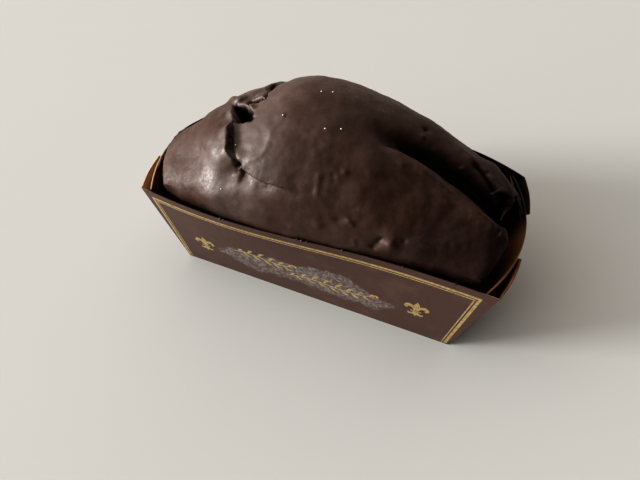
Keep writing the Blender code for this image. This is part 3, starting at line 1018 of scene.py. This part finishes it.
def crust_flap():
    """A slab of crust that leans out of the back lobe, between four corners."""
    a, b, c, d = (at_height(*corner) for corner in FLAP_CORNERS)

    def place(s, t):
        s, t = s[:, None], t[:, None]
        top, foot = a + (b - a) * s, d + (c - d) * s
        flat = top + (foot - top) * t
        return flat + 0.5 * MM * rough(flat, 4 * MM, 31.0)[:, None] * np.array((0.3, -0.5, 0.8))
    slab = bent_sheet("flap", 18, 12, place)
    finish_with(slab, "SOLIDIFY", thickness=FLAP_THICKNESS, offset=0)
    return slab


strands = joined("chocolate_strands", strands + [crust_flap(), rim_smear()])
merge_close(strands, 0.01 * MM)
smooth_shaded(strands)
print_box(strands)

# %% [markdown]
# ## Materials
#
# Every finish is built from nodes, so it needs no picture. One helper adds a node and wires it,
# one mixes two colours and one turns a range of numbers into another. Patterns read the Object
# coordinates, which are metres on the piece, so a scale of 400 means 2.5 mm. Colours are linear.

# %% Nodes, wires and finishes
def add(near, kind, inputs=None, **settings):
    """One node, in the tree where the node or socket near is."""
    made = near.id_data.nodes.new("ShaderNode" + kind)
    for key, value in settings.items():
        setattr(made, key, value)
    wire(made, inputs or {})
    return made


def wire(made, inputs):
    """Each input gets a number, a colour or another node's output."""
    for socket, value in inputs.items():
        if isinstance(value, bpy.types.NodeSocket):
            made.id_data.links.new(value, made.inputs[socket])
        else:
            made.inputs[socket].default_value = value


def new_finish(name):
    """A material, its shader and the place on the piece."""
    print("finish:", name)
    material = bpy.data.materials.new(name)
    material.use_nodes = True
    shader = material.node_tree.nodes["Principled BSDF"]
    return material, shader, add(shader, "TexCoord").outputs["Object"]


# %% Colours, ranges, sums and noise
def parts_of(vector):
    return add(vector, "SeparateXYZ", {"Vector": vector}).outputs


def mixed(share, low, high):
    """From the colour low at share 0 to the colour high at share 1."""
    made = add(share, "Mix", data_type="RGBA")
    wire(made, {0: share, 6: low, 7: high})
    return made.outputs[2]


def ranged(value, low, high, to_low=0.0, to_high=1.0, kind="SMOOTHSTEP"):
    """Turns the range from low to high into another one, eased at both ends."""
    made = add(value, "MapRange", {"Value": value, "From Min": low, "From Max": high,
                                   "To Min": to_low, "To Max": to_high}, interpolation_type=kind)
    return made.outputs["Result"]


def math_of(operation, a, b=0.0):
    made = add(a, "Math", operation=operation)
    wire(made, {0: a, 1: b})
    return made.outputs[0]


def times(first, *others):
    """The product of numbers."""
    for other in others:
        first = math_of("MULTIPLY", first, other)
    return first


def speckle(place, scale, detail=4.0, roughness=0.6):
    """Soft noise around 0.5."""
    made = add(place, "TexNoise", {"Vector": place, "Scale": scale, "Detail": detail,
                                   "Roughness": roughness})
    return made.outputs["Fac"]


def bumped(shader, *layers):
    """Stacks bump layers: (height, depth in metres)."""
    for height, depth in layers:
        made = add(shader, "Bump", {"Height": height, "Distance": depth, "Strength": 1.0})
        for link in shader.inputs["Normal"].links:
            wire(made, {"Normal": link.from_socket})
        wire(shader, {"Normal": made.outputs["Normal"]})


# %% [markdown]
# Set chocolate is a satin, greyish brown skin. As it cools, a little fat blooms on it in faint
# clouds, so broad noise mixes two browns and finer noise mottles them. Painted shade darkens it
# to nearly black in holes and cracks, and to a darker brown low down at the right. The sheen isn't
# even either: dull at the far left end, strong on the smooth mass beside the end crack, and
# middling over the rest. One gloss for all would be simpler, but then the left end shines like
# varnish.

# %% Chocolate
CHOCOLATE = (0.066, 0.036, 0.028, 1)
CHOCOLATE_BLOOM = (0.092, 0.057, 0.047, 1)
CHOCOLATE_DEEP = (0.042, 0.020, 0.013, 1)
CHOCOLATE_PAINTED_SHADE_LOW = (0.024, 0.011, 0.008, 1)  # painted shade, low down at the right
CHOCOLATE_PAINTED_SHADE = (0.008, 0.004, 0.002, 1)  # painted shade in holes and cracks
DULL, MIDDLING, SHINY = 0.26, 0.46, 0.72  # specular level
# Places in metres, along the loaf (x) or up (z), between which one finish eases into the next.
X_SHEEN_RISES, X_SHEEN_FALLS, X_PAINTED_SHADE_STARTS = (-0.066, -0.048), (-0.028, -0.012), (0.03, 0.07)
Z_PAINTED_SHADE_ENDS = (0.070, 0.088)
WANDER = 0.006  # metres that these borders wander to either side

material, shader, place = new_finish("set_chocolate")
clouds = ranged(speckle(place, 45, 5), 0.42, 0.68)
grain = speckle(place, 900, 3)
mottled = ranged(speckle(place, 210, 4), 0.35, 0.65)
colour = mixed(clouds, CHOCOLATE, CHOCOLATE_BLOOM)
colour = mixed(times(mottled, 0.35), colour, CHOCOLATE_DEEP)
x, y, z = parts_of(place)
wander = ranged(speckle(place, 60, 3), 0.3, 0.7, -WANDER, WANDER)
x = math_of("ADD", x, wander)
# Painted shade: the glaze low down at the right is darkened.
low = times(ranged(z, *Z_PAINTED_SHADE_ENDS, 0.8, 0.0), ranged(x, *X_PAINTED_SHADE_STARTS))
colour = mixed(low, colour, CHOCOLATE_PAINTED_SHADE_LOW)
# Painted shade in holes and cracks, read from the glaze's attribute.
painted_shade = add(shader, "Attribute", attribute_name="painted_shade").outputs["Fac"]
colour = mixed(painted_shade, colour, CHOCOLATE_PAINTED_SHADE)
sheen = ranged(x, *X_SHEEN_RISES, DULL, SHINY)
sheen = math_of("SUBTRACT", sheen, ranged(x, *X_SHEEN_FALLS, 0.0, SHINY - MIDDLING))
sheen = times(sheen, ranged(painted_shade, 0.0, 1.0, 1.0, 0.15))
shader.inputs["Specular IOR Level"].default_value = MIDDLING  # where a linked level isn't read
wire(shader, {"Base Color": colour, "Roughness": ranged(grain, 0.3, 0.7, 0.46, 0.60),
              "Specular IOR Level": sheen})
bumped(shader, (speckle(place, 260, 5), 0.08 * MM), (grain, 0.05 * MM),
       (speckle(place, 1700, 2), 0.05 * MM))
for piece in (glaze, strands, crumbs):
    piece.data.materials.append(material)

# %% [markdown]
# Sugar is white and only a little uneven. The sponge is hidden under its glaze, but the packed
# loaf keeps a finish of its own for whoever lifts the glaze off: two doughs, pale and dark, that
# swirl into each other. A narrow range of coarse noise gives such swirls.

# %% Sugar and sponge
SUGAR, SUGAR_WHITE = (0.6, 0.57, 0.52, 1), (0.85, 0.84, 0.8, 1)
SPONGE_PALE, SPONGE_DARK = (0.55, 0.33, 0.13, 1), (0.10, 0.045, 0.02, 1)

material, shader, place = new_finish("white_sugar")
wire(shader, {"Base Color": mixed(speckle(place, 3000), SUGAR, SUGAR_WHITE), "Roughness": 0.5})
specks.data.materials.append(material)

material, shader, place = new_finish("marbled_sponge")
swirl = ranged(speckle(place, 30, 6), 0.46, 0.54)
wire(shader, {"Base Color": mixed(swirl, SPONGE_PALE, SPONGE_DARK), "Roughness": 0.9})
bumped(shader, (speckle(place, 700, 6, 0.7), 0.4 * MM))
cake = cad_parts["cake"]
cake.data.materials.clear()
cake.data.materials.append(material)

# %% [markdown]
# The printed side of the card is dark brown ink under a satin varnish. The grey cloud behind the
# sprays is a field whose upper and lower edge are two curves along the panel. Noise pushes
# the edges about and thins the field out, which makes it powdery.

# %% The ink and the cloud
INK_BROWN = (0.090, 0.054, 0.044, 1)
INK_BROWN_WORN = (0.120, 0.076, 0.060, 1)
CLOUD_GREY = (0.255, 0.235, 0.235, 1)
CLOUD_TOP = ((-62, 24), (-58, 26), (-46, 33), (-27, 33), (-15, 36), (-2, 36), (5, 38.5), (24, 39.5),
             (32, 32.7), (44, 26), (58, 23.7), (80, 23.7))
CLOUD_FOOT = ((-62, 22), (-55, 19.5), (-45, 15.5), (-36, 11), (-18, 13.5), (8, 13.5), (26, 11.5),
              (43, 13), (51, 17.7), (59, 20.8), (80, 22.2))
CLOUD_SPAN = 100.0  # the curves run from -100 to 100 mm, and from 0 to 100 mm up
CLOUD_ENDS = (62, 76)  # millimetres from the middle, between which the cloud fades away
FLUFF = 13.0  # millimetres
print("stations of the cloud:", len(CLOUD_TOP) + len(CLOUD_FOOT))


# %% Heights and differences along a panel
def height_curve(x, stations):
    """A height along the panel, as a curve through a few stations."""
    share = ranged(x, -CLOUD_SPAN, CLOUD_SPAN, kind="LINEAR")
    made = add(x, "FloatCurve", {"Value": share})
    curve = made.mapping.curves[0]
    scaled = [((a + CLOUD_SPAN) / (2 * CLOUD_SPAN), b / CLOUD_SPAN) for a, b in stations]
    curve.points[0].location = (0, scaled[0][1])
    curve.points[1].location = (1, scaled[-1][1])
    for spot in scaled:
        curve.points.new(*spot)
    made.mapping.update()
    return times(made.outputs[0], CLOUD_SPAN)


def inside_by(high, low, fluff):
    """How far one height lies over another, with fluff added, in millimetres."""
    return math_of("ADD", math_of("SUBTRACT", high, low), fluff)


# %% Printed card
printed_card, shader, place = new_finish("printed_card")
x, h, on_panel = parts_of(add(shader, "Attribute", attribute_name="panel_place").outputs["Vector"])
fluff = times(math_of("SUBTRACT", speckle(place, 120, 8, 0.65), 0.5), FLUFF)
below_top = inside_by(height_curve(x, CLOUD_TOP), h, fluff)
above_foot = inside_by(h, height_curve(x, CLOUD_FOOT), fluff)
within = times(ranged(below_top, -0.5, 2.5), ranged(above_foot, -0.5, 3.5))
powder = ranged(speckle(place, 520, 8, 0.8), 0.42, 0.62, 0.03, 1.0)
ends = ranged(math_of("ABSOLUTE", x), *CLOUD_ENDS, 1.0, 0.0)
worn = ranged(speckle(place, 60, 6), 0.5, 0.75)
ink = mixed(worn, INK_BROWN, INK_BROWN_WORN)
fibres = speckle(place, 1500, 3)
wire(shader, {"Base Color": mixed(times(within, powder, ends, on_panel), ink, CLOUD_GREY),
              "Roughness": ranged(fibres, 0.3, 0.7, 0.36, 0.46), "Specular IOR Level": 0.4})
bumped(shader, (speckle(place, 90, 3), 0.15 * MM), (fibres, 0.008 * MM))

# %% [markdown]
# Under the print the card is plain kraft, which shows in the folded webs. Painted light makes it
# paler at the left, painted shade darkens it deep in the right pocket, and it is darker on the
# webs at the back. The inside of the case is painted shade, nearly black, and lighter at the ends
# as painted light. Both have fibres, which are noise drawn out along the height.

# %% Bare and darkened card
KRAFT, KRAFT_PALE = (0.13, 0.055, 0.022, 1), (0.20, 0.10, 0.048, 1)
KRAFT_STAINED, KRAFT_LIT_LEFT = (0.11, 0.045, 0.016, 1), (0.50, 0.34, 0.21, 1)
KRAFT_POCKET_SHADE, KRAFT_BACK = (0.07, 0.02, 0.004, 1), (0.03, 0.017, 0.011, 1)
# Painted shade on the inside of the case, mottled, and painted light at its ends.
INSIDE_SHADE, INSIDE_DEEP_SHADE = (0.040, 0.022, 0.014, 1), (0.016, 0.009, 0.006, 1)
INSIDE_LIT_END = (0.19, 0.11, 0.062, 1)
# Places in metres: from the left ears to the right ones, from front to back, and up the pocket.
X_LEFT_TO_RIGHT, Y_FRONT_TO_BACK, Z_POCKET = (-0.03, 0.03), (-0.01, 0.01), (0.056, 0.060)
X_LIT_END, Y_LIT_FRONT = (0.090, 0.097), (0.0, 0.015)


def card_fibres(place, scale, roughness):
    drawn = add(place, "Mapping", {"Vector": place, "Scale": (1.0, 1.0, 0.3)}).outputs["Vector"]
    return speckle(drawn, scale, 6, roughness)


bare_card, shader, place = new_finish("bare_kraft_card")
x, y, z = parts_of(place)
fibres = card_fibres(place, 900, 0.7)
colour = mixed(ranged(fibres, 0.35, 0.65), KRAFT, KRAFT_PALE)
colour = mixed(ranged(speckle(place, 70, 5), 0.45, 0.65), colour, KRAFT_STAINED)
# Painted light: paler on the webs at the left.
colour = mixed(ranged(x, *X_LEFT_TO_RIGHT, 1.0, 0.0), colour, KRAFT_LIT_LEFT)
# Painted shade low in the right pocket.
deep = times(ranged(z, *Z_POCKET, 1.0, 0.0), ranged(x, *X_LEFT_TO_RIGHT))
colour = mixed(deep, colour, KRAFT_POCKET_SHADE)
# Darker on the webs at the back.
colour = mixed(ranged(y, *Y_FRONT_TO_BACK), colour, KRAFT_BACK)
wire(shader, {"Base Color": colour, "Roughness": 0.75})
bumped(shader, (fibres, 0.05 * MM))

shaded_inside_card, shader, place = new_finish("card_inside_painted_shade")
x, y, z = parts_of(place)
fibres = card_fibres(place, 600, 0.6)
colour = mixed(ranged(speckle(place, 55, 5), 0.4, 0.65), INSIDE_SHADE, INSIDE_DEEP_SHADE)
# Painted light: lighter at the ends, on the front half.
lit_ends = times(ranged(math_of("ABSOLUTE", x), *X_LIT_END),
              ranged(y, *Y_LIT_FRONT, 1.0, 0.0))
colour = mixed(lit_ends, colour, INSIDE_LIT_END)
wire(shader, {"Base Color": colour, "Roughness": ranged(fibres, 0.3, 0.7, 0.4, 0.6)})
bumped(shader, (fibres, 0.05 * MM))

for face, finish in ((PRINT_FACE, printed_card), (INSIDE_FACE, shaded_inside_card),
                     (EAR_FACE, printed_card), (BARE_FACE, bare_card)):
    case.data.materials[face] = finish

# %% [markdown]
# Gold ink is powdered metal in varnish: half metallic, not a mirror, and rubbed thin in places.

# %% Gold ink
GOLD, GOLD_RUBBED = (0.55, 0.43, 0.23, 1), (0.30, 0.23, 0.125, 1)

material, shader, place = new_finish("gold_ink")
rubbed = speckle(place, 800, 6, 0.7)
wire(shader, {"Base Color": mixed(ranged(rubbed, 0.4, 0.7), GOLD, GOLD_RUBBED),
              "Roughness": ranged(rubbed, 0.3, 0.7, 0.35, 0.5), "Metallic": 0.5})
print_piece.data.materials.append(material)

# %% [markdown]
# ## Floor and light
#
# The cake stands on a plain pale table by a window. The soft shadow to the right and the sheen on
# the left end tell where the window is: to the left, a little in front, and low. So one large area
# lamp stands there. The room behind the camera and to the right is darker, so the world that
# fills in is pale towards the window and dim away from it. Where a low view looks past the edge
# of the table, it sees a plain pale backdrop, which lights nothing.

# %% Floor
TABLE_SIZE = 6.0  # metres
TABLE_GREY, TABLE_PALE = (0.48, 0.488, 0.486, 1), (0.50, 0.508, 0.506, 1)
only()
bpy.ops.mesh.primitive_plane_add(size=TABLE_SIZE)
floor = bpy.context.object
floor.name = "floor"
material, shader, place = new_finish("pale_table")
wire(shader, {"Base Color": mixed(speckle(place, 3, 3), TABLE_GREY, TABLE_PALE),
              "Roughness": 0.85, "Specular IOR Level": 0.1})
bumped(shader, (speckle(place, 700, 2), 0.02 * MM))
floor.data.materials.append(material)

# %% Window
WINDOW_AZIMUTH, WINDOW_ELEVATION, WINDOW_DISTANCE = math.radians(205), math.radians(15), 12.0
WINDOW_WIDTH, WINDOW_HEIGHT, WINDOW_POWER = 3.0, 3.8, 1400
WINDOW_COLOUR = (1.0, 0.985, 0.96)
to_window = Vector((math.cos(WINDOW_AZIMUTH) * math.cos(WINDOW_ELEVATION),
                    math.sin(WINDOW_AZIMUTH) * math.cos(WINDOW_ELEVATION), math.sin(WINDOW_ELEVATION)))
only()
bpy.ops.object.light_add(type="AREA", location=to_window * WINDOW_DISTANCE)
lamp = bpy.context.object
lamp.name = "window"
lamp.rotation_euler = to_window.to_track_quat("Z", "Y").to_euler()
lamp.data.shape = "RECTANGLE"
lamp.data.size, lamp.data.size_y = WINDOW_WIDTH, WINDOW_HEIGHT
lamp.data.energy = WINDOW_POWER
lamp.data.color = WINDOW_COLOUR
print("window at metres:", [round(c, 1) for c in lamp.location])

# %% Room
ROOM_DIM = (0.012, 0.011, 0.010, 1)
CEILING = (0.80, 0.725, 0.655, 1)  # bounced light from above, a little warm
GLOW = (1.9, 1.9, 1.86, 1)  # the wall round the window
BACKDROP = (0.50, 0.49, 0.47, 1)
to_ceiling = Vector((-0.5, 0.45, 0.74))
world = bpy.context.scene.world or bpy.data.worlds.new("room")
bpy.context.scene.world = world
world.use_nodes = True
background = world.node_tree.nodes["Background"]
direction = add(background, "TexCoord").outputs["Generated"]


def facing(way, low, high):
    """1 where the world lies along a direction, 0 where it lies away from it."""
    towards = add(direction, "VectorMath", operation="DOT_PRODUCT")
    wire(towards, {0: direction, 1: way})
    return ranged(towards.outputs["Value"], low, high)


colour = mixed(facing(to_ceiling, 0.1, 0.8), ROOM_DIM, CEILING)
colour = mixed(facing(to_window, 0.55, 1.0), colour, GLOW)
colour = mixed(add(background, "LightPath").outputs["Is Camera Ray"], colour, BACKDROP)
wire(background, {"Strength": 1.0, "Color": colour})
bpy.context.scene.view_settings.view_transform = "Standard"
bpy.context.scene.view_settings.look = "Very High Contrast"

# %% [markdown]
# ## Pieces on the body
#
# Each piece rides on the one body. Where a piece stands in for an imported solid, that solid is
# hidden.

# %% Pieces, bodies and sizes
for piece, slot, nodes in ((glaze, "chocolate_glaze", ["glaze"]), (case, "printed_paper", ["case"]),
                           (print_piece, "printed_paper", []), (specks, "chocolate_glaze", []),
                           (strands, "chocolate_glaze", []), (crumbs, "chocolate_glaze", [])):
    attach(piece, "root")
    if nodes:
        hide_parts(*nodes)
    print(piece.name, "triangles:", sum(len(p.vertices) - 2 for p in piece.data.polygons))
